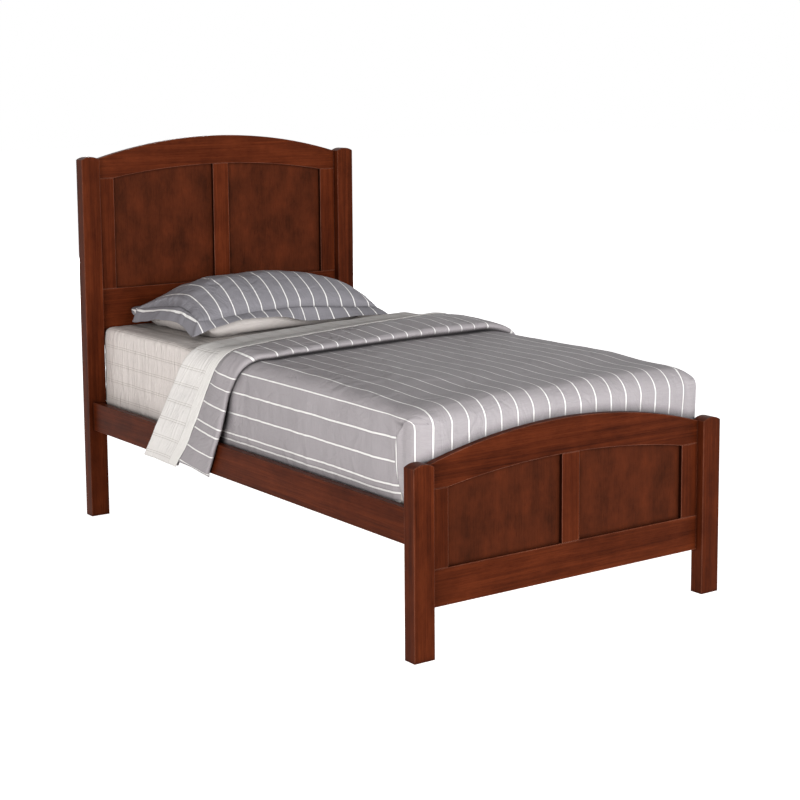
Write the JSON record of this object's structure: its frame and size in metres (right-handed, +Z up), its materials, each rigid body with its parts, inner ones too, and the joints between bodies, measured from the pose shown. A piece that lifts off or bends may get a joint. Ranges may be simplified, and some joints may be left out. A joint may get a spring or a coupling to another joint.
{
  "type": "panel bed",
  "caption": "Twin panel bed with an arched two-panel headboard and footboard, hook-on side rails, slats, mattress, sheets, striped comforter and a flanged pillow.",
  "frame": {"origin": "on the floor, under the middle of the bed's outline", "axes": "+Z up, +Y from foot to head, +X to the sleeper's left when lying on the back, which is the right side seen from the foot"},
  "size_m": [1.139, 2.005, 1.3359],
  "materials": {
    "cherry_wood": "dark cherry stain under satin lacquer, on solid wood",
    "cherry_panel": "dark cherry stain under satin lacquer, on flat veneer",
    "pine": "planed, unfinished",
    "dowel_wood": "plain hardwood",
    "zinc_steel": "zinc plated",
    "ticking": "knitted ticking",
    "sheet_cotton": "woven cotton with fine twin thread lines",
    "striped_cover": "grey sateen with narrow white stripes",
    "pillow_cotton": "plain white cotton"
  },
  "bodies": {
    "root": {"catch_plate_foot_left": "zinc_steel", "catch_plate_foot_right": "zinc_steel", "catch_plate_head_left": "zinc_steel", "catch_plate_head_right": "zinc_steel", "comforter": "striped_cover", "fitted_sheet": "sheet_cotton", "flat_sheet": "sheet_cotton", "footboard_bottom_rail": "cherry_wood", "footboard_dowels": "dowel_wood", "footboard_panel_left": "cherry_panel", "footboard_panel_right": "cherry_panel", "footboard_post_left": "cherry_wood", "footboard_post_right": "cherry_wood", "footboard_stile_centre": "cherry_wood", "footboard_stile_left": "cherry_wood", "footboard_stile_right": "cherry_wood", "footboard_top_rail": "cherry_wood", "headboard_bottom_rail": "cherry_wood", "headboard_dowels": "dowel_wood", "headboard_panel_left": "cherry_panel", "headboard_panel_right": "cherry_panel", "headboard_post_left": "cherry_wood", "headboard_post_right": "cherry_wood", "headboard_stile_centre": "cherry_wood", "headboard_stile_left": "cherry_wood", "headboard_stile_right": "cherry_wood", "headboard_stretcher": "cherry_wood", "headboard_top_rail": "cherry_wood", "hook_plate_foot_left": "zinc_steel", "hook_plate_foot_right": "zinc_steel", "hook_plate_head_left": "zinc_steel", "hook_plate_head_right": "zinc_steel", "ledger_screws": "zinc_steel", "mattress": "ticking", "pillow": "pillow_cotton", "pillow_sham": "striped_cover", "plate_screws": "zinc_steel", "side_rail_left": "cherry_wood", "side_rail_right": "cherry_wood", "slat_01": "pine", "slat_02": "pine", "slat_03": "pine", "slat_04": "pine", "slat_05": "pine", "slat_06": "pine", "slat_07": "pine", "slat_08": "pine", "slat_09": "pine", "slat_10": "pine", "slat_11": "pine", "slat_12": "pine", "slat_ledger_left": "pine", "slat_ledger_right": "pine", "slat_screws": "zinc_steel"}
  },
  "joints": []
}
